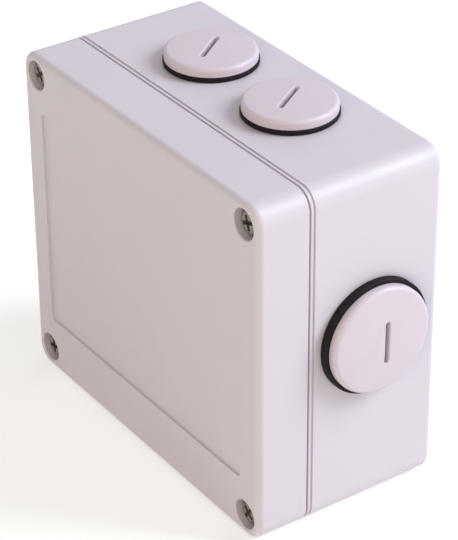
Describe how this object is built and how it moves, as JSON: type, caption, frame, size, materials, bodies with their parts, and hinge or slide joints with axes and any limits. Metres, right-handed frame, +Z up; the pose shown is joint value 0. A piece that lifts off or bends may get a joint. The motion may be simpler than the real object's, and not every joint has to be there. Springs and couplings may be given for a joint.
{
  "type": "weatherproof enclosure",
  "caption": "Rectangular moulded plastic enclosure with a gasketed screw-down lid, recessed label panel and slotted screw-in blanking plugs on sealing washers in its conduit entries.",
  "frame": {"origin": "middle of the underside of the box, without the plugs", "axes": "+X to the right seen from the front, -Y out of the lid face, +Z up"},
  "size_m": [0.1153, 0.057, 0.1045],
  "materials": {
    "case_plastic": "fine satin moulded",
    "plug_plastic": "fine satin moulded",
    "washer_rubber": "matt",
    "gasket_foam": "matt",
    "screw_steel": "plain",
    "insert_brass": "turned"
  },
  "bodies": {
    "base": {"enclosure_base": "case_plastic", "insert_top_left": "insert_brass", "insert_top_right": "insert_brass", "insert_bottom_left": "insert_brass", "insert_bottom_right": "insert_brass"},
    "lid": {"lid": "case_plastic", "lid_gasket": "gasket_foam"},
    "screw_top_left": {"lid_screw_top_left": "screw_steel"},
    "screw_top_right": {"lid_screw_top_right": "screw_steel"},
    "screw_bottom_left": {"lid_screw_bottom_left": "screw_steel"},
    "screw_bottom_right": {"lid_screw_bottom_right": "screw_steel"},
    "washer_top_left": {"washer_top_left": "washer_rubber"},
    "plug_top_left": {"plug_top_left": "plug_plastic"},
    "washer_top_right": {"washer_top_right": "washer_rubber"},
    "plug_top_right": {"plug_top_right": "plug_plastic"},
    "washer_side": {"washer_side": "washer_rubber"},
    "plug_side": {"plug_side": "plug_plastic"}
  },
  "joints": [
    {"name": "lid_lift", "type": "slide", "parent": "base", "child": "lid", "axis": [0, -1, 0], "range_m": [0, 0.06]},
    {"name": "screw_top_left_turn", "type": "hinge", "parent": "lid", "child": "screw_top_left", "pos_m": [-0.0486, -0.0285, 0.0938], "axis": [0, -1, 0], "continuous": true},
    {"name": "screw_top_right_turn", "type": "hinge", "parent": "lid", "child": "screw_top_right", "pos_m": [0.0486, -0.0285, 0.0938], "axis": [0, -1, 0], "continuous": true},
    {"name": "screw_bottom_left_turn", "type": "hinge", "parent": "lid", "child": "screw_bottom_left", "pos_m": [-0.0486, -0.0285, 0.0062], "axis": [0, -1, 0], "continuous": true},
    {"name": "screw_bottom_right_turn", "type": "hinge", "parent": "lid", "child": "screw_bottom_right", "pos_m": [0.0486, -0.0285, 0.0062], "axis": [0, -1, 0], "continuous": true},
    {"name": "washer_top_left_rise", "type": "slide", "parent": "base", "child": "washer_top_left", "axis": [0, 0, 1], "range_m": [0, 0.0092]},
    {"name": "plug_top_left_turn", "type": "hinge", "parent": "washer_top_left", "child": "plug_top_left", "pos_m": [-0.01785, 0.00795, 0.1], "axis": [0, 0, 1], "range_deg": [0, 2160]},
    {"name": "washer_top_right_rise", "type": "slide", "parent": "base", "child": "washer_top_right", "axis": [0, 0, 1], "range_m": [0, 0.0092]},
    {"name": "plug_top_right_turn", "type": "hinge", "parent": "washer_top_right", "child": "plug_top_right", "pos_m": [0.01785, 0.00795, 0.1], "axis": [0, 0, 1], "range_deg": [0, 2160]},
    {"name": "washer_side_rise", "type": "slide", "parent": "base", "child": "washer_side", "axis": [1, 0, 0], "range_m": [0, 0.0092]},
    {"name": "plug_side_turn", "type": "hinge", "parent": "washer_side", "child": "plug_side", "pos_m": [0.055, 0.00695, 0.0526], "axis": [1, 0, 0], "range_deg": [0, 2160]}
  ],
  "couplings": [
    {"joint": "washer_top_left_rise", "follows": "plug_top_left_turn", "m_per_rad": 0.00023873},
    {"joint": "washer_top_right_rise", "follows": "plug_top_right_turn", "m_per_rad": 0.00023873},
    {"joint": "washer_side_rise", "follows": "plug_side_turn", "m_per_rad": 0.00023873}
  ]
}
